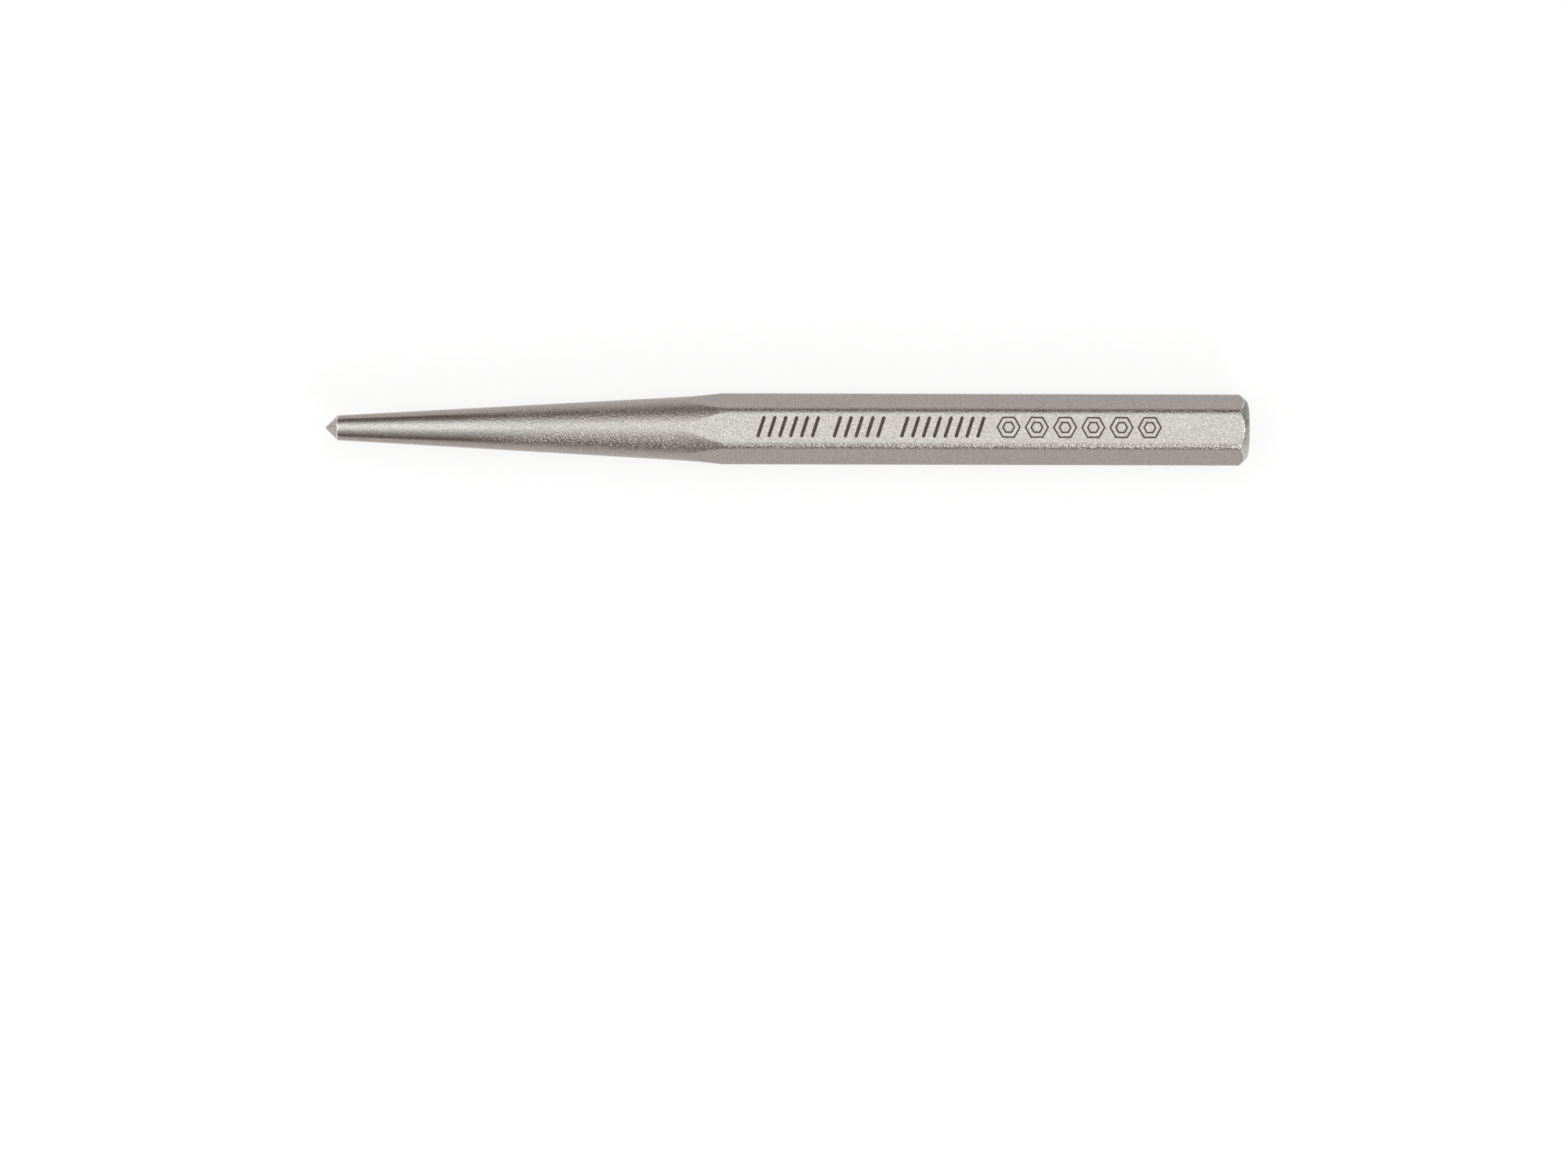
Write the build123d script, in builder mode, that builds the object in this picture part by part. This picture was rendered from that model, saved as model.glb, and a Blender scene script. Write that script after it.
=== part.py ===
from build123d import *
from math import cos, radians, sin, sqrt, tan
import os

# Center punch: one solid bar of hexagonal tool steel, lying on one of its flats.
#
# The bar runs along X, with the point at -X and the struck end at +X. The bottom flat lies on
# Z = 0 and the middle of the bounding box is above the origin. From the point backwards it has
# a ground 90 degree point, a long turned taper, a run-out that cuts the hexagon in scallops,
# the hexagonal shank, and a chamfered and crowned end that takes the hammer.
#
# Sizes are in millimetres. A "station" is a distance from the tip of the point along +X.

# Bar stock: 5/16 in hexagon, cut 4 1/2 in long
LENGTH = 114.3
SIDES = 6
ACROSS_FLATS = 7.94
CORNER_RADIUS = 1.2

# Ground point, with a small rounded rim where it meets the taper
POINT_HALF_ANGLE = 45.0
NOSE_RADIUS = 0.12
RIM_RADIUS = 1.54
RIM_ROUND = 0.3

# Turned taper and the arc by which it runs out into the hexagon
TAPER_HALF_ANGLE = 3.22
RUN_OUT_STATION = 42.6
RUN_OUT_RADIUS = 123.0
RUN_OUT_SWEEP = 3.6

# Struck end: a shallow crown inside a chamfer, measured from the plane across the end
CROWN_RADIUS = 31.5
CROWN_EDGE_RADIUS = 3.45
CROWN_EDGE_ROUND = 1.4
CHAMFER_ANGLE = 48.0

# Etched mark on the top flat: groups of slanted bars, then a row of double-outlined hexagons
ETCH_DEPTH = 0.04
ETCH_OFFSET_Y = 0.2
BAR_GROUPS = ((53.9, 6), (63.3, 5), (71.6, 8))
BAR_PITCH = 1.34
BAR_LENGTH = 2.75
BAR_STROKE = 0.42
BAR_ANGLE = 72.0
HEXAGON_STATION = 84.4
HEXAGON_COUNT = 6
HEXAGON_PITCH = 3.48
HEXAGON_SIZES = (2.62, 1.42)
HEXAGON_STROKE = 0.2

# Stamped mark on the bottom flat: groups of outlined lozenges
STAMP_DEPTH = 0.1
LOZENGE_GROUPS = ((67.3, 2), (74.8, 6), (88.2, 5), (99.0, 4))
LOZENGE_PITCH = 1.95
LOZENGE_WIDTH = 1.5
LOZENGE_HEIGHT = 2.6
LOZENGE_STROKE = 0.3

# Worked out from the sizes above
AXIS_HEIGHT = ACROSS_FLATS / 2
TIP_X = -LENGTH / 2


def station(distance):
    """X of a point that lies this far behind the tip."""
    return TIP_X + distance


def row(first_station, count, pitch):
    """Stations of a row of equal marks, from the middle of the first one."""
    return [first_station + pitch * i for i in range(count)]


def lozenge(width, height):
    """Corners of a lozenge about the origin."""
    return [(width / 2, 0), (0, height / 2), (-width / 2, 0), (0, -height / 2)]


# Corners of the turned outline, in (station, radius)
point_slope = tan(radians(POINT_HALF_ANGLE))
nose_end = (
    NOSE_RADIUS * (1 - sin(radians(POINT_HALF_ANGLE))),
    NOSE_RADIUS * cos(radians(POINT_HALF_ANGLE)),
)
rim = (nose_end[0] + (RIM_RADIUS - nose_end[1]) / point_slope, RIM_RADIUS)
taper_rise = (RUN_OUT_STATION - rim[0]) * tan(radians(TAPER_HALF_ANGLE))
taper_end = (RUN_OUT_STATION, RIM_RADIUS + taper_rise)
crown_height = CROWN_RADIUS - sqrt(CROWN_RADIUS**2 - CROWN_EDGE_RADIUS**2)
crown_edge = (LENGTH - crown_height, CROWN_EDGE_RADIUS)
crown_top = (LENGTH, 0)

# The section lies across the bar with one flat down, the outline stands along its axis.
section_plane = Plane(origin=(TIP_X, 0, AXIS_HEIGHT), x_dir=(0, 1, 0), z_dir=(1, 0, 0))
outline_plane = Plane(origin=(TIP_X, 0, AXIS_HEIGHT), x_dir=(1, 0, 0), z_dir=(0, -1, 0))
tool_axis = Axis((TIP_X, 0, AXIS_HEIGHT), (1, 0, 0))

with BuildPart() as punch_body:
    # Hexagonal bar with rolled corners
    with BuildSketch(section_plane) as section:
        RegularPolygon(AXIS_HEIGHT, SIDES, major_radius=False)
        fillet(section.vertices(), CORNER_RADIUS)
    extrude(amount=LENGTH)

    # Turning takes the bar down to one outline. Past the run-out the outline stays clear
    # of the corners, and it comes back down the chamfer to the crown.
    with BuildSketch(outline_plane) as turned:
        with BuildLine() as outline:
            RadiusArc((0, 0), nose_end, NOSE_RADIUS)
            Line(nose_end, rim)
            taper = Line(rim, taper_end)
            run_out = JernArc(taper @ 1, taper % 1, RUN_OUT_RADIUS, RUN_OUT_SWEEP)
            clear_radius = (run_out @ 1).Y
            chamfer_depth = (clear_radius - CROWN_EDGE_RADIUS) * tan(radians(CHAMFER_ANGLE))
            chamfer_start = (crown_edge[0] - chamfer_depth, clear_radius)
            Polyline(run_out @ 1, chamfer_start, crown_edge)
            RadiusArc(crown_edge, crown_top, CROWN_RADIUS)
            Line(crown_top, (0, 0))
        make_face()
        fillet(turned.vertices().sort_by_distance(rim)[0], RIM_ROUND)
        fillet(turned.vertices().sort_by_distance(crown_edge)[0], CROWN_EDGE_ROUND)
    revolve(axis=tool_axis, mode=Mode.INTERSECT)

    # Etched mark, sunk in the top flat
    with BuildSketch(Plane.XY.offset(ACROSS_FLATS)) as etched:
        for first, count in BAR_GROUPS:
            with Locations([(station(s), ETCH_OFFSET_Y) for s in row(first, count, BAR_PITCH)]):
                SlotOverall(BAR_LENGTH, BAR_STROKE, rotation=BAR_ANGLE)
        hexagons = row(HEXAGON_STATION, HEXAGON_COUNT, HEXAGON_PITCH)
        with Locations([(station(s), ETCH_OFFSET_Y) for s in hexagons]):
            for size in HEXAGON_SIZES:
                inner_size = size - 2 * HEXAGON_STROKE
                RegularPolygon(size / 2, SIDES, major_radius=False)
                RegularPolygon(inner_size / 2, SIDES, major_radius=False, mode=Mode.SUBTRACT)
    extrude(amount=-ETCH_DEPTH, mode=Mode.SUBTRACT)

    # Stamped mark, sunk in the bottom flat
    with BuildSketch(Plane.XY) as stamped:
        lozenge_slope = LOZENGE_HEIGHT / LOZENGE_WIDTH
        inner_width = LOZENGE_WIDTH - 2 * LOZENGE_STROKE
        for first, count in LOZENGE_GROUPS:
            with Locations([(station(s), 0) for s in row(first, count, LOZENGE_PITCH)]):
                Polygon(lozenge(LOZENGE_WIDTH, LOZENGE_HEIGHT))
                Polygon(lozenge(inner_width, inner_width * lozenge_slope), mode=Mode.SUBTRACT)
    extrude(amount=STAMP_DEPTH, mode=Mode.SUBTRACT)

punch_body.part.label = "punch_body"
os.makedirs("parts", exist_ok=True)
export_step(punch_body.part, "parts/punch_body.step")
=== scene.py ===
from math import acos, atan, cos, degrees, hypot, pi, radians, sin, sqrt, tan

import bpy
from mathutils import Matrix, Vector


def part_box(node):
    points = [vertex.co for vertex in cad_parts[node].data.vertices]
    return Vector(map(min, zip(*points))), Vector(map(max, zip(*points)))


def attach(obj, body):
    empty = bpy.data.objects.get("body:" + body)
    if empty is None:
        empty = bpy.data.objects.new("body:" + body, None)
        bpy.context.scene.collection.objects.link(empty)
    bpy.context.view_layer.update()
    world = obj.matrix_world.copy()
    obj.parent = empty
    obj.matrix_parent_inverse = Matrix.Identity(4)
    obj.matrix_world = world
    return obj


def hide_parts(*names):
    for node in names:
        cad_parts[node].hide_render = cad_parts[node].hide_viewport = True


# A center punch of hexagonal steel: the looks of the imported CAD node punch_body. One closed mesh
# stands for the node. It is built from the same few sizes as the CAD, with more rings, with a
# fine rounded edge at the struck end, and with a finish of its own for each machined region.
#
# The tool's sizes are in millimetres and become metres in place(). A station is a distance
# from the tip of the point along +X.

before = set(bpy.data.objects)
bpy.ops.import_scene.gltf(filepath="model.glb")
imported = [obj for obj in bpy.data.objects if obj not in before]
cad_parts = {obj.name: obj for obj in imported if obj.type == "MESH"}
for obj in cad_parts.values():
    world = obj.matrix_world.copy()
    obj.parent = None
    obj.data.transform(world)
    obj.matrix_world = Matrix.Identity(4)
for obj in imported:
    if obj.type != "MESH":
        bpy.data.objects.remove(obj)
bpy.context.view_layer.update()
low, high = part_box("punch_body")

MM = 0.001

# Bar stock, from the CAD node's box
SIDES = 6
SIDE_TURN = 360 / SIDES
HALF_SIDE = radians(SIDE_TURN / 2)
TIP_X = low.x / MM
LENGTH = (high.x - low.x) / MM
APOTHEM = (high.z - low.z) / 2 / MM
AXIS_Z = (high.z + low.z) / 2 / MM
HALF_CORNERS = (high.y - low.y) / 2 / MM
CORNER_STRETCH = 1 / cos(HALF_SIDE)
CORNER_RADIUS = (APOTHEM * CORNER_STRETCH - HALF_CORNERS) / (CORNER_STRETCH - 1)
FLAT_HALF_WIDTH = (APOTHEM - CORNER_RADIUS) * tan(HALF_SIDE)

# Ground point
POINT_HALF_ANGLE = 45.0
NOSE_RADIUS = 0.12
RIM_RADIUS = 1.54
RIM_ROUND = 0.3

# Taper and run-out
TAPER_HALF_ANGLE = 3.22
RUN_OUT_STATION = 42.6
RUN_OUT_RADIUS = 123.0

# Struck end
CROWN_RADIUS = 31.5
CROWN_EDGE_RADIUS = 3.45
CROWN_EDGE_ROUND = 1.4
CHAMFER_ANGLE = 48.0
SHANK_EDGE_ROUND = 0.22

# Etched mark on the top flat
ETCH_DEPTH = 0.04
ETCH_OFFSET_Y = 0.2
BAR_GROUPS = ((53.9, 6), (63.3, 5), (71.6, 8))
BAR_PITCH = 1.34
BAR_LENGTH = 2.75
BAR_STROKE = 0.42
BAR_ANGLE = 72.0
HEXAGON_STATION = 84.4
HEXAGON_COUNT = 6
HEXAGON_PITCH = 3.48
HEXAGON_SIZES = (2.62, 1.42)
HEXAGON_STROKE = 0.2

# Stamped mark on the bottom flat
STAMP_DEPTH = 0.1
LOZENGE_GROUPS = ((67.3, 2), (74.8, 6), (88.2, 5), (99.0, 4))
LOZENGE_PITCH = 1.95
LOZENGE_WIDTH = 1.5
LOZENGE_HEIGHT = 2.6
LOZENGE_STROKE = 0.3
GROOVE_FLOOR = 0.1

# How far a cutter stands out of the flat that it cuts
CUTTER_PROUD = 0.05

# Mesh density, and the angle in degrees from which an edge is shaded sharp
FLAT_STEPS = 12
HALF_CORNER_STEPS = 8
ROUND_STEPS = 6
CONE_STEPS = 10
TAPER_STEPS = 40
RUN_OUT_STEPS = 30
SHANK_STEPS = 60
CHAMFER_STEPS = 6
CROWN_STEPS = 10
SHARP_ANGLE = 35.0

# Finishes: sizes of noise and heights of bumps are in millimetres. A ramp is a row of steps,
# each a value and its colour. A roughness is a pair, for the low and the high part of a noise.
NOISE_RANGE = (0.3, 0.7)

# Shot-blasted steel. Its grain is shallow near the point and full further back.
BLASTED_RAMP = ((0.3, (0.264, 0.233, 0.213)), (0.7, (0.415, 0.367, 0.335)))
BLASTED_ROUGHNESS = (0.2, 0.25)
GRAIN_SIZE = 0.17
GRAIN_HEIGHT = 0.065
FINE_SHARE = 0.25
FINE_UP_TO = 15.0
FULL_FROM = 24.0
WAVE_SIZE = 1.6
WAVE_HEIGHT = 0.02
PATCH_SIZE = 3.0

# Ground steel of the point and of the struck end. A lean is painted light: how much brighter the
# colour is painted towards the -Y side, where more light falls.
POINT_RAMP = ((0.0, (0.14, 0.129, 0.117)), (1.0, (0.67, 0.63, 0.577)))
POINT_PAINTED_SIDE_LIGHT = 0.0
END_RAMP = ((0.0, (0.077, 0.07, 0.063)), (1.0, (0.6, 0.57, 0.53)))
END_PAINTED_SIDE_LIGHT = 0.85
GROUND_ROUGHNESS = (0.26, 0.38)
RING_SIZE = 0.09
RING_HEIGHT = 0.006
NICK_SIZE = 0.35
NICK_HEIGHT = 0.02

# Steel of the edges that are rubbed bright
WORN_RAMP = ((0.4, (0.33, 0.3, 0.275)), (0.6, (0.75, 0.715, 0.67)))
WORN_ROUGHNESS = (0.2, 0.3)
RUB_SIZE = 0.4
RUB_HEIGHT = 0.01

# Etched steel
ETCHED_RAMP = ((0.35, (0.024, 0.016, 0.012)), (0.72, (0.1, 0.075, 0.06)))
ETCHED_ROUGHNESS = (0.75, 0.6)
ETCHED_SPECULAR = 0.2
SPECKLE_SIZE = 0.12
SPECKLE_HEIGHT = 0.02

# Floor: a wide white sheet with a glow of its own, so that it reads as a plain pale ground
FLOOR_SIZE = 40.0
FLOOR_RAMP = ((0.3, (0.165, 0.152, 0.148)), (0.7, (0.175, 0.16, 0.156)))
FLOOR_ROUGHNESS = (0.9, 1.0)
FLOOR_GLOW = 0.79
FIBRE_SIZE = 2.0
FIBRE_HEIGHT = 0.002

# Camera: straight above, at the photograph's distance, turned by its small roll
CAMERA_HEIGHT = 0.97
CAMERA_LENS = 180.0
CAMERA_X = -0.00038
CAMERA_Y = -0.01968
CAMERA_ROLL = 0.146

# Softboxes overhead: the height of each, the angles off the vertical between which the tool sees
# it, in degrees towards +X and towards +Y, and its radiance. The side softbox is bright and
# stands low on one side, so mostly the tilted grains of the blasted steel catch it.
SOFTBOX_COLOUR = (0.9, 1.0, 1.05)
SOFTBOXES = (
    ("wide_softbox", 0.85, -32.0, 32.0, -25.0, 44.0, 0.57),
    ("near_softbox", 0.75, -32.0, 32.0, -10.0, 29.0, 0.79),
    ("side_softbox", 0.8, 20.0, 44.0, -61.0, -45.0, 11.0),
)

# Brightness of the room by the sine of the height above the horizon: a thin pale horizon, dark
# walls, and a ceiling that brightens slowly towards the softboxes
ROOM_RAMP = (
    (0.0, (0.95, 0.94, 0.93)),
    (0.03, (0.9, 0.88, 0.86)),
    (0.07, (0.08, 0.07, 0.062)),
    (0.26, (0.2, 0.175, 0.16)),
    (0.47, (0.38, 0.35, 0.33)),
    (0.62, (0.55, 0.52, 0.49)),
    (0.71, (0.77, 0.78, 0.77)),
    (0.82, (0.93, 1.0, 1.02)),
)

# Brightness of the room beyond both ends of the tool, where the walls are pale and brighten
# upwards. A pair holds the sines of the angles between which a change happens: from the horizon
# for the ceiling, and from the plane across the tool for the walls.
POINT_WALL_COLOUR = (0.84, 0.82, 0.8)
STRUCK_WALL_COLOUR = (0.56, 0.54, 0.52)
END_CEILING_COLOUR = (1.15, 1.15, 1.13)
END_CEILING_RANGE = (0.08, 0.4)
END_WALL_RANGE = (0.4, 0.65)


# ---------------------------------------------------------------- outline and section

def section_radius(angle):
    """Distance from the axis to the bar's surface, at an angle from the nearest flat's normal."""
    flat_end = atan(FLAT_HALF_WIDTH / APOTHEM)
    if abs(angle) <= flat_end:
        return APOTHEM / cos(angle)
    from_corner = HALF_SIDE - abs(angle)
    centre = (APOTHEM - CORNER_RADIUS) * CORNER_STRETCH
    return centre * cos(from_corner) + sqrt(CORNER_RADIUS**2 - (centre * sin(from_corner))**2)


def section_angles():
    """Angles across one flat and its two half corners, in radians from the flat's normal.

    They are even across the flat, and even in the turn of the surface round each corner.
    """
    flat = []
    for i in range(FLAT_STEPS + 1):
        across = FLAT_HALF_WIDTH * (2 * i / FLAT_STEPS - 1)
        flat.append(atan(across / APOTHEM))
    corner = []
    for i in range(1, HALF_CORNER_STEPS):
        turn = HALF_SIDE * i / HALF_CORNER_STEPS
        across = FLAT_HALF_WIDTH + CORNER_RADIUS * sin(turn)
        out = APOTHEM - CORNER_RADIUS + CORNER_RADIUS * cos(turn)
        corner.append(atan(across / out))
    return [-HALF_SIDE] + [-angle for angle in reversed(corner)] + flat + corner


def line(start, end, steps):
    """Points from start up to end, which is left out."""
    return [
        (start[0] + (end[0] - start[0]) * i / steps, start[1] + (end[1] - start[1]) * i / steps)
        for i in range(steps)
    ]


def arc(centre, radius, start, end, steps):
    """Points round a centre from one angle to another, both in degrees and both kept."""
    turns = [radians(start + (end - start) * i / steps) for i in range(steps + 1)]
    return [(centre[0] + radius * cos(t), centre[1] + radius * sin(t)) for t in turns]


def rounded_corner(corner, heading_in, heading_out, radius):
    """Arc that rounds a corner where the outline turns towards the axis. Headings in degrees."""
    along = (cos(radians(heading_in)), sin(radians(heading_in)))
    cut = radius * tan(radians(heading_in - heading_out) / 2)
    start = (corner[0] - cut * along[0], corner[1] - cut * along[1])
    centre = (start[0] + radius * along[1], start[1] - radius * along[0])
    return arc(centre, radius, heading_in + 90, heading_out + 90, ROUND_STEPS)


def point_outline():
    """The ground point, from beside the tip to its rim, and the rounded rim."""
    nose = arc((NOSE_RADIUS, 0), NOSE_RADIUS, 180, 90 + POINT_HALF_ANGLE, ROUND_STEPS)[1:]
    rise = RIM_RADIUS - nose[-1][1]
    rim = (nose[-1][0] + rise / tan(radians(POINT_HALF_ANGLE)), RIM_RADIUS)
    rounded = rounded_corner(rim, POINT_HALF_ANGLE, TAPER_HALF_ANGLE, RIM_ROUND)
    return nose[:-1] + line(nose[-1], rounded[0], CONE_STEPS), rounded


def run_out_arc(taper_start):
    """Start and centre of the arc by which the taper runs out into the bar."""
    rise = (RUN_OUT_STATION - taper_start[0]) * tan(radians(TAPER_HALF_ANGLE))
    start = (RUN_OUT_STATION, taper_start[1] + rise)
    centre = (
        start[0] - RUN_OUT_RADIUS * sin(radians(TAPER_HALF_ANGLE)),
        start[1] + RUN_OUT_RADIUS * cos(radians(TAPER_HALF_ANGLE)),
    )
    return start, centre


def crown_outline():
    """The crown and the round at its edge, from the end of the chamfer to beside the axis."""
    crown_centre = (LENGTH - CROWN_RADIUS, 0)
    edge_x = crown_centre[0] + sqrt(CROWN_RADIUS**2 - CROWN_EDGE_RADIUS**2)
    normal = (cos(radians(CHAMFER_ANGLE)), sin(radians(CHAMFER_ANGLE)))
    chamfer_reach = normal[0] * (edge_x - crown_centre[0]) + normal[1] * CROWN_EDGE_RADIUS
    inner = CROWN_RADIUS - CROWN_EDGE_ROUND
    tangent = CHAMFER_ANGLE - degrees(acos((chamfer_reach - CROWN_EDGE_ROUND) / inner))
    round_centre = (crown_centre[0] + inner * cos(radians(tangent)), inner * sin(radians(tangent)))
    edge = arc(round_centre, CROWN_EDGE_ROUND, CHAMFER_ANGLE, tangent, ROUND_STEPS)
    return edge[:-1] + arc(crown_centre, CROWN_RADIUS, tangent, 0, CROWN_STEPS)[:-1]


def outline_at(radius):
    """The outline where the bar's surface is this far from the axis, as one run for each finish.

    The runs are the point, its rim, the taper with the shank, the chamfer's edge and the end.
    """
    point, rim = point_outline()
    start, centre = run_out_arc(rim[-1])
    taper = line(rim[-1], start, TAPER_STEPS)
    meets = centre[0] + sqrt(RUN_OUT_RADIUS**2 - (centre[1] - radius)**2)
    run_out = []
    for i in range(RUN_OUT_STEPS):
        x = start[0] + (meets - start[0]) * i / RUN_OUT_STEPS
        run_out.append((x, centre[1] - sqrt(RUN_OUT_RADIUS**2 - (x - centre[0])**2)))
    end = crown_outline()
    chamfer_length = (radius - end[0][1]) * tan(radians(CHAMFER_ANGLE))
    edge_corner = (end[0][0] - chamfer_length, radius)
    edge = rounded_corner(edge_corner, 0, CHAMFER_ANGLE - 90, SHANK_EDGE_ROUND)
    shank = line((meets, radius), edge[0], SHANK_STEPS)
    chamfer = line(edge[-1], end[0], CHAMFER_STEPS)
    return [point, rim[:-1], taper + run_out + shank, edge[:-1], chamfer + end]


def place(x, y, z):
    """A point in millimetres, from the tip and the axis, as a point of the frame in metres."""
    return ((TIP_X + x) * MM, y * MM, (AXIS_Z + z) * MM)


# ---------------------------------------------------------------- meshes

def new_object(name, vertices, faces):
    """A new object in the scene, made of these vertices and faces."""
    mesh = bpy.data.meshes.new(name)
    mesh.from_pydata(vertices, [], faces)
    mesh.update()
    made = bpy.data.objects.new(name, mesh)
    bpy.context.collection.objects.link(made)
    return made


def make_body(finishes):
    """The whole tool as rings of points, one outline for each angle round the axis.

    finishes holds a material for each run of the outline.
    """
    turns = []
    outlines = []
    for side in range(SIDES):
        for angle in section_angles():
            turns.append(radians(SIDE_TURN * side) + angle)
            outlines.append(outline_at(section_radius(angle)))
    count = len(turns)
    run_of_ring = [index for index, run in enumerate(outlines[0]) for _ in run]
    rings = len(run_of_ring)
    columns = [[point for run in outline for point in run] for outline in outlines]
    vertices = []
    for ring in range(rings):
        for turn, column in zip(turns, columns):
            x, radius = column[ring]
            vertices.append(place(x, -radius * sin(turn), radius * cos(turn)))
    tip = len(vertices)
    top = tip + 1
    vertices += [place(0, 0, 0), place(LENGTH, 0, 0)]

    faces = []
    for ring in range(rings - 1):
        near, far = ring * count, (ring + 1) * count
        for i in range(count):
            j = (i + 1) % count
            faces.append((near + i, near + j, far + j, far + i))
    last = (rings - 1) * count
    faces += [(last + i, last + (i + 1) % count, top) for i in range(count)]
    faces += [(tip, (i + 1) % count, i) for i in range(count)]

    body = new_object("center_punch", vertices, faces)
    materials = list(dict.fromkeys(finishes))
    for material in materials:
        body.data.materials.append(material)
    for index, face in enumerate(body.data.polygons):
        ring = index // count
        run = run_of_ring[ring] if ring < rings else 0
        face.material_index = materials.index(finishes[run])
    return body


def prisms(name, solids):
    """Closed solids joined as one object. Each is a pair: its rings of corners, and if it is hollow.

    A hollow solid's last ring joins its first one, round a hole. The others have two flat ends.
    """
    vertices = []
    faces = []
    for rings, hollow in solids:
        count = len(rings[0])
        first = len(vertices)
        for ring in rings:
            vertices += ring
        pairs = list(zip(range(len(rings)), range(1, len(rings))))
        if hollow:
            pairs.append((len(rings) - 1, 0))
        for a, b in pairs:
            near, far = first + a * count, first + b * count
            for i in range(count):
                j = (i + 1) % count
                faces.append((near + i, near + j, far + j, far + i))
        if not hollow:
            last = first + (len(rings) - 1) * count
            faces.append(tuple(first + i for i in reversed(range(count))))
            faces.append(tuple(last + i for i in range(count)))
    return new_object(name, vertices, faces)


def ring_at(corners, station, offset, height):
    """Corners moved to a station, an offset towards +Y and a height from the axis."""
    return [place(station + x, offset + y, height) for x, y in corners]


def bar_corners():
    """Outline of one slanted bar with round ends."""
    reach = (BAR_LENGTH - BAR_STROKE) / 2
    ends = (
        arc((reach, 0), BAR_STROKE / 2, -90, 90, ROUND_STEPS)
        + arc((-reach, 0), BAR_STROKE / 2, 90, 270, ROUND_STEPS)
    )
    turn = radians(BAR_ANGLE)
    return [(x * cos(turn) - y * sin(turn), x * sin(turn) + y * cos(turn)) for x, y in ends]


def hexagon_corners(across_flats):
    """Corners of a hexagon with a corner on the X axis."""
    return arc((0, 0), across_flats / 2 * CORNER_STRETCH, 0, 360 - SIDE_TURN, SIDES - 1)


def lozenge_corners(inset):
    """Corners of a lozenge whose sides are moved in from the full outline."""
    half_width, half_height = LOZENGE_WIDTH / 2, LOZENGE_HEIGHT / 2
    scale = 1 - inset * hypot(half_width, half_height) / (half_width * half_height)
    return [
        (half_width * scale, 0), (0, half_height * scale),
        (-half_width * scale, 0), (0, -half_height * scale),
    ]


def row(first_station, count, pitch):
    """Stations of a row of equal marks, from the middle of the first one."""
    return [first_station + pitch * i for i in range(count)]


def etch_cutter():
    """Everything that the etched mark takes out of the top flat."""
    floor, proud = APOTHEM - ETCH_DEPTH, APOTHEM + CUTTER_PROUD
    solids = []
    for first, count in BAR_GROUPS:
        for station in row(first, count, BAR_PITCH):
            bar = bar_corners()
            rings = [ring_at(bar, station, ETCH_OFFSET_Y, height) for height in (floor, proud)]
            solids.append((rings, False))
    for station in row(HEXAGON_STATION, HEXAGON_COUNT, HEXAGON_PITCH):
        for size in HEXAGON_SIZES:
            outer = hexagon_corners(size)
            inner = hexagon_corners(size - 2 * HEXAGON_STROKE)
            sides = ((outer, floor), (outer, proud), (inner, proud), (inner, floor))
            rings = [ring_at(corners, station, ETCH_OFFSET_Y, height) for corners, height in sides]
            solids.append((rings, True))
    return prisms("etch_cutter", solids)


def stamp_cutter():
    """Everything that the stamped mark takes out of the bottom flat: grooves with sloping walls."""
    floor, proud = STAMP_DEPTH - APOTHEM, -APOTHEM - CUTTER_PROUD
    wall_run = (LOZENGE_STROKE - GROOVE_FLOOR) / 2
    flare = wall_run * CUTTER_PROUD / STAMP_DEPTH
    groove = (
        (-flare, proud), (wall_run, floor),
        (LOZENGE_STROKE - wall_run, floor), (LOZENGE_STROKE + flare, proud),
    )
    solids = []
    for first, count in LOZENGE_GROUPS:
        for station in row(first, count, LOZENGE_PITCH):
            rings = [ring_at(lozenge_corners(inset), station, 0, height) for inset, height in groove]
            solids.append((rings, True))
    return prisms("stamp_cutter", solids)


def cut(body, cutter, material):
    """Takes the cutter's solids out of the body. The new faces get this material."""
    cutter.data.materials.append(material)
    modifier = body.modifiers.new("cut", "BOOLEAN")
    modifier.operation = "DIFFERENCE"
    modifier.solver = "EXACT"
    modifier.material_mode = "TRANSFER"
    modifier.object = cutter
    evaluated = body.evaluated_get(bpy.context.evaluated_depsgraph_get())
    result = bpy.data.meshes.new_from_object(evaluated)
    body.modifiers.clear()
    body.data = result
    bpy.data.objects.remove(cutter)


# ---------------------------------------------------------------- materials

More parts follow.
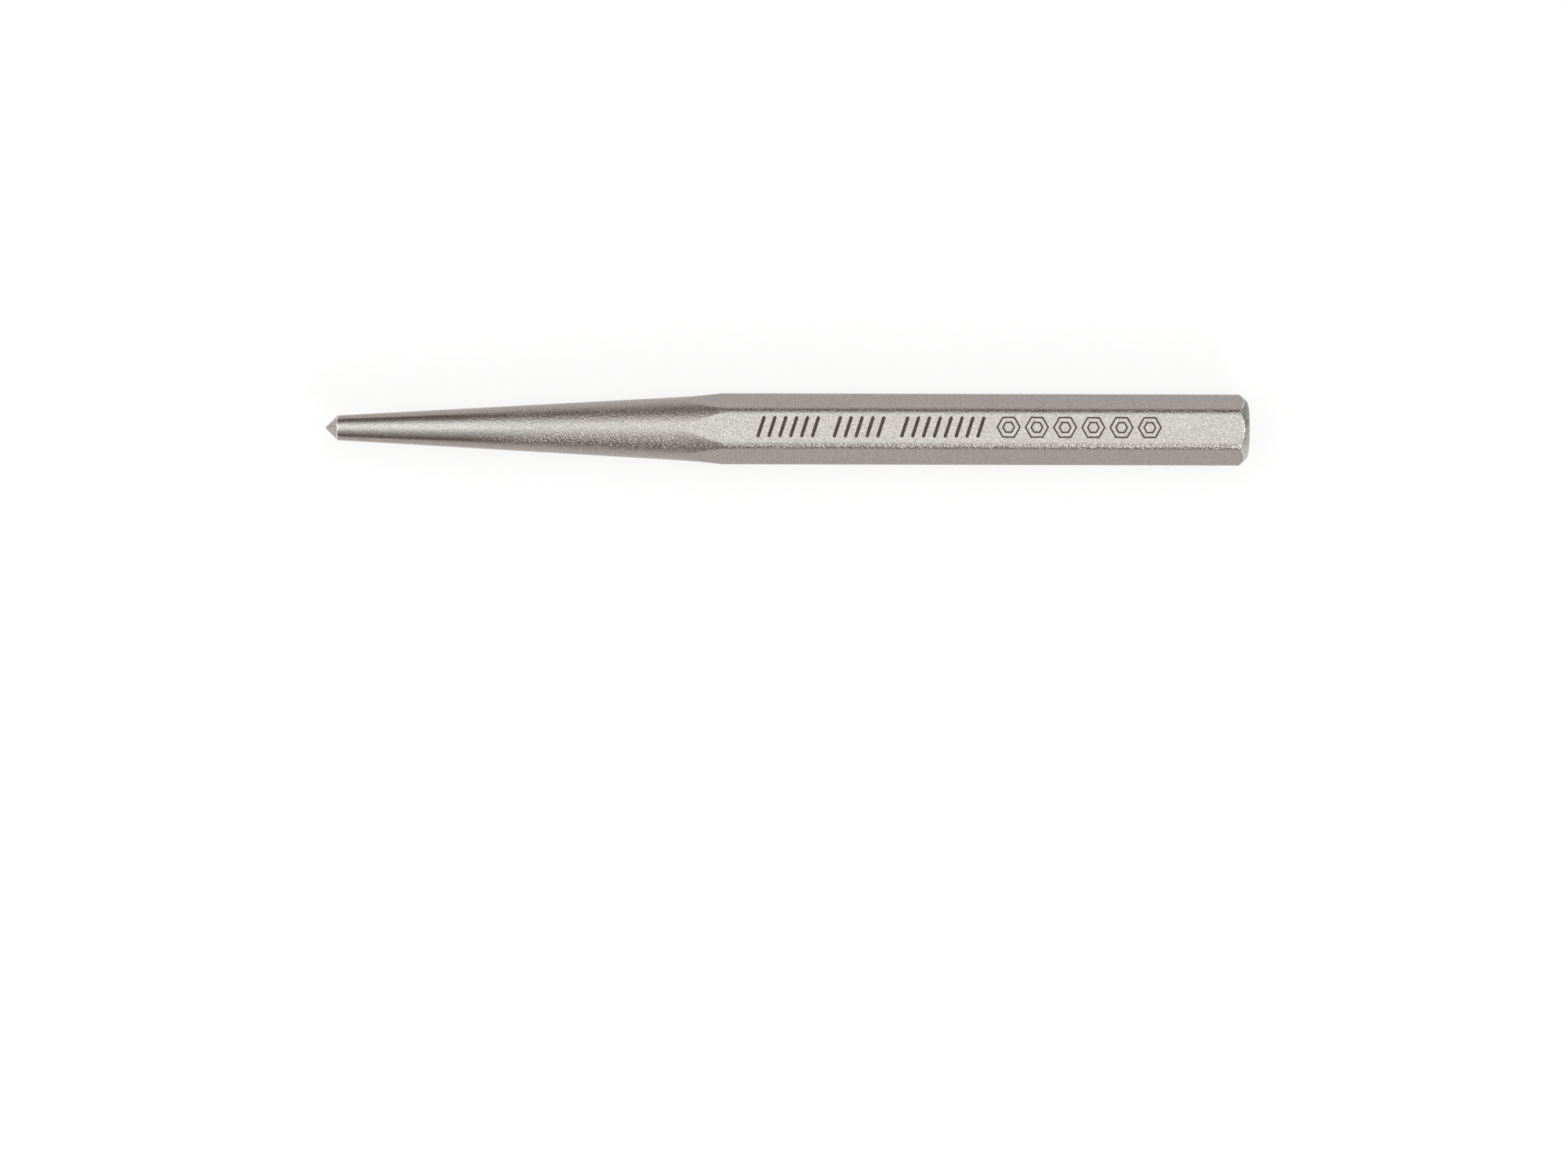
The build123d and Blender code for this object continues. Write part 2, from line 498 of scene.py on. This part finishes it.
class Nodes:
    """Short ways to add shader nodes to a tree."""

    def __init__(self, tree):
        self.tree = tree

    def add(self, kind, inputs=(), **settings):
        """A node with its settings, whose inputs are values or other nodes' outputs."""
        node = self.tree.nodes.new(kind)
        for name, value in settings.items():
            setattr(node, name, value)
        for name, value in dict(inputs).items():
            if isinstance(value, bpy.types.NodeSocket):
                self.tree.links.new(value, node.inputs[name])
            else:
                node.inputs[name].default_value = value
        return node

    def noise(self, vector, size, detail=2.0, roughness=0.5):
        """Noise from 0 to 1 with features of about this size in millimetres."""
        scale = 1 / (size * MM)
        inputs = {"Vector": vector, "Scale": scale, "Detail": detail, "Roughness": roughness}
        return self.add("ShaderNodeTexNoise", inputs).outputs["Fac"]

    def ramp(self, value, steps):
        """Colour that follows a value through steps, each a value and its colour."""
        node = self.add("ShaderNodeValToRGB", {"Fac": value})
        elements = node.color_ramp.elements
        while len(elements) < len(steps):
            elements.new(1.0)
        for element, (position, colour) in zip(elements, steps):
            element.position = position
            element.color = (*colour, 1)
        return node.outputs["Color"]

    def spread(self, value, from_range, to_range):
        """A value carried from one range to another, each a pair of its low and its high end."""
        inputs = {
            "Value": value, "From Min": from_range[0], "From Max": from_range[1],
            "To Min": to_range[0], "To Max": to_range[1],
        }
        return self.add("ShaderNodeMapRange", inputs).outputs["Result"]

    def mix(self, share, first, second):
        """Mix of two colours, which are values or other nodes' outputs."""
        inputs = {"Factor": share, "A": first, "B": second}
        return self.add("ShaderNodeMix", inputs, data_type="RGBA").outputs["Result"]

    def bump(self, height, distance, normal=None, strength=1.0):
        """Bumps as high as this distance in millimetres, on top of another bump if it is given."""
        inputs = {"Height": height, "Distance": distance * MM, "Strength": strength}
        if normal:
            inputs["Normal"] = normal
        return self.add("ShaderNodeBump", inputs).outputs["Normal"]


class Finish(Nodes):
    """A new material and its nodes, with the object's coordinates at hand."""

    def __init__(self, name):
        self.material = bpy.data.materials.new(name)
        self.material.use_nodes = True
        super().__init__(self.material.node_tree)
        self.shader = self.tree.nodes["Principled BSDF"]
        self.where = self.add("ShaderNodeTexCoord").outputs["Object"]

    def done(self, colour, roughness, normal, metallic):
        """Links the surface and returns the material."""
        self.tree.links.new(colour, self.shader.inputs["Base Color"])
        self.tree.links.new(roughness, self.shader.inputs["Roughness"])
        self.tree.links.new(normal, self.shader.inputs["Normal"])
        self.shader.inputs["Metallic"].default_value = metallic
        return self.material


def make_blasted_steel():
    """Shot-blasted steel: fine sparkling grain over slow, faint patches, finer towards the point."""
    nodes = Finish("blasted_steel")
    split = nodes.add("ShaderNodeSeparateXYZ", {"Vector": nodes.where})
    grain = nodes.noise(nodes.where, GRAIN_SIZE, detail=1)
    patches = nodes.noise(nodes.where, PATCH_SIZE, detail=3)
    wave = nodes.noise(nodes.where, WAVE_SIZE, detail=1)
    colour = nodes.ramp(grain, BLASTED_RAMP)
    roughness = nodes.spread(patches, NOISE_RANGE, BLASTED_ROUGHNESS)
    fine_to_full = ((TIP_X + FINE_UP_TO) * MM, (TIP_X + FULL_FROM) * MM)
    depth = nodes.spread(split.outputs["X"], fine_to_full, (FINE_SHARE, 1.0))
    slow = nodes.bump(wave, WAVE_HEIGHT)
    normal = nodes.bump(grain, GRAIN_HEIGHT, slow, depth)
    return nodes.done(colour, roughness, normal, metallic=1.0)


def make_ground_steel(name, ramp, painted_side_light):
    """Ground steel: fine rings round the axis and a few nicks, with painted light that brightens its
    colour towards the -Y side.
    """
    nodes = Finish(name)
    split = nodes.add("ShaderNodeSeparateXYZ", {"Vector": nodes.where})
    height = nodes.add(
        "ShaderNodeMath", {0: split.outputs["Z"], 1: AXIS_Z * MM}, operation="SUBTRACT"
    ).outputs[0]
    across = nodes.add("ShaderNodeCombineXYZ", {"X": split.outputs["Y"], "Y": height}).outputs[0]
    radius = nodes.add("ShaderNodeVectorMath", {0: across}, operation="LENGTH").outputs["Value"]
    ring = nodes.add("ShaderNodeCombineXYZ", {"X": split.outputs["X"], "Y": radius}).outputs[0]
    rings = nodes.noise(ring, RING_SIZE, detail=3)
    nicks = nodes.noise(nodes.where, NICK_SIZE)
    # Painted light and shade: the colour is brightened towards -Y and darkened towards +Y, as if more
    # light fell on the -Y side.
    side = nodes.spread(split.outputs["Y"], (low.y, high.y), (painted_side_light / 2, -painted_side_light / 2))
    nicks_and_painted_light = nodes.add("ShaderNodeMath", {0: nicks, 1: side}, operation="ADD").outputs[0]
    colour = nodes.ramp(nicks_and_painted_light, ramp)
    roughness = nodes.spread(rings, NOISE_RANGE, GROUND_ROUGHNESS)
    nicked = nodes.bump(nicks, NICK_HEIGHT)
    normal = nodes.bump(rings, RING_HEIGHT, nicked)
    return nodes.done(colour, roughness, normal, metallic=1.0)


def make_worn_steel():
    """Bright steel of the edges that are rubbed smooth."""
    nodes = Finish("worn_steel")
    rub = nodes.noise(nodes.where, RUB_SIZE)
    colour = nodes.ramp(rub, WORN_RAMP)
    roughness = nodes.spread(rub, NOISE_RANGE, WORN_ROUGHNESS)
    normal = nodes.bump(rub, RUB_HEIGHT)
    return nodes.done(colour, roughness, normal, metallic=1.0)


def make_etched_steel():
    """Etched steel: dark matt oxide with a little bare metal in its speckle."""
    nodes = Finish("etched_steel")
    speckle = nodes.noise(nodes.where, SPECKLE_SIZE, detail=3, roughness=0.6)
    colour = nodes.ramp(speckle, ETCHED_RAMP)
    roughness = nodes.spread(speckle, NOISE_RANGE, ETCHED_ROUGHNESS)
    normal = nodes.bump(speckle, SPECKLE_HEIGHT)
    nodes.shader.inputs["Specular IOR Level"].default_value = ETCHED_SPECULAR
    return nodes.done(colour, roughness, normal, metallic=0.0)


def make_floor_material():
    """White paper sheet with an even glow."""
    nodes = Finish("white_floor")
    fibre = nodes.noise(nodes.where, FIBRE_SIZE, detail=3)
    colour = nodes.ramp(fibre, FLOOR_RAMP)
    roughness = nodes.spread(fibre, NOISE_RANGE, FLOOR_ROUGHNESS)
    normal = nodes.bump(fibre, FIBRE_HEIGHT)
    nodes.shader.inputs["Emission Color"].default_value = (1, 1, 1, 1)
    nodes.shader.inputs["Emission Strength"].default_value = FLOOR_GLOW
    nodes.shader.inputs["Specular IOR Level"].default_value = 0.0
    return nodes.done(colour, roughness, normal, metallic=0.0)


# ---------------------------------------------------------------- studio

def make_camera():
    """Camera that looks straight down, in the photograph's place."""
    data = bpy.data.cameras.new("camera")
    data.lens = CAMERA_LENS
    camera = bpy.data.objects.new("camera", data)
    bpy.context.collection.objects.link(camera)
    camera.location = (CAMERA_X, CAMERA_Y, CAMERA_HEIGHT + AXIS_Z * MM)
    camera.rotation_euler = (0, 0, radians(CAMERA_ROLL))
    bpy.context.scene.camera = camera


def make_floor():
    """Wide floor at the height that the tool lies on."""
    half = FLOOR_SIZE / 2
    corners = [(-half, -half, low.z), (half, -half, low.z), (half, half, low.z), (-half, half, low.z)]
    floor = new_object("floor", corners, [(0, 1, 2, 3)])
    floor.data.materials.append(make_floor_material())


def make_softbox(name, height, x_from, x_to, y_from, y_to, radiance):
    """An overhead softbox between these angles off the vertical, of one radiance."""
    x_low, x_high, y_low, y_high = (height * tan(radians(a)) for a in (x_from, x_to, y_from, y_to))
    data = bpy.data.lights.new(name, "AREA")
    data.shape = "RECTANGLE"
    data.size = x_high - x_low
    data.size_y = y_high - y_low
    data.energy = radiance * pi * data.size * data.size_y
    data.color = SOFTBOX_COLOUR
    softbox = bpy.data.objects.new(name, data)
    bpy.context.collection.objects.link(softbox)
    softbox.location = ((x_low + x_high) / 2, (y_low + y_high) / 2, height)
    softbox.visible_camera = False


def make_room():
    """Room around the studio: dark walls beside the tool, pale walls beyond its ends."""
    world = bpy.data.worlds.new("room")
    bpy.context.scene.world = world
    world.use_nodes = True
    nodes = Nodes(world.node_tree)
    direction = nodes.add("ShaderNodeTexCoord").outputs["Generated"]
    split = nodes.add("ShaderNodeSeparateXYZ", {"Vector": direction})
    x, z = split.outputs["X"], split.outputs["Z"]
    along = nodes.add("ShaderNodeMath", {0: x}, operation="ABSOLUTE").outputs[0]
    sides = nodes.ramp(z, ROOM_RAMP)
    struck_share = nodes.spread(x, (0.0, 1.0), (0.0, 1.0))
    walls = nodes.mix(struck_share, (*POINT_WALL_COLOUR, 1), (*STRUCK_WALL_COLOUR, 1))
    ceiling_share = nodes.spread(z, END_CEILING_RANGE, (0.0, 1.0))
    ends = nodes.mix(ceiling_share, walls, (*END_CEILING_COLOUR, 1))
    end_share = nodes.spread(along, END_WALL_RANGE, (0.0, 1.0))
    room = nodes.mix(end_share, sides, ends)
    world.node_tree.links.new(room, world.node_tree.nodes["Background"].inputs["Color"])


def make_punch():
    """The tool, with its marks cut in and its finishes on."""
    blasted, worn = make_blasted_steel(), make_worn_steel()
    point = make_ground_steel("ground_point", POINT_RAMP, POINT_PAINTED_SIDE_LIGHT)
    # The struck end's colour holds painted light, brighter on its -Y side.
    end = make_ground_steel("ground_end_painted_side_light", END_RAMP, END_PAINTED_SIDE_LIGHT)
    body = make_body([point, worn, blasted, worn, end])
    cut(body, etch_cutter(), make_etched_steel())
    cut(body, stamp_cutter(), blasted)
    body.data.shade_smooth()
    body.data.set_sharp_from_angle(angle=radians(SHARP_ANGLE))
    body.modifiers.new("even_normals", "WEIGHTED_NORMAL").keep_sharp = True
    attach(body, "root")
    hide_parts("punch_body")


bpy.context.scene.view_settings.view_transform = "Standard"
make_camera()
make_room()
for settings in SOFTBOXES:
    make_softbox(*settings)
make_floor()
make_punch()
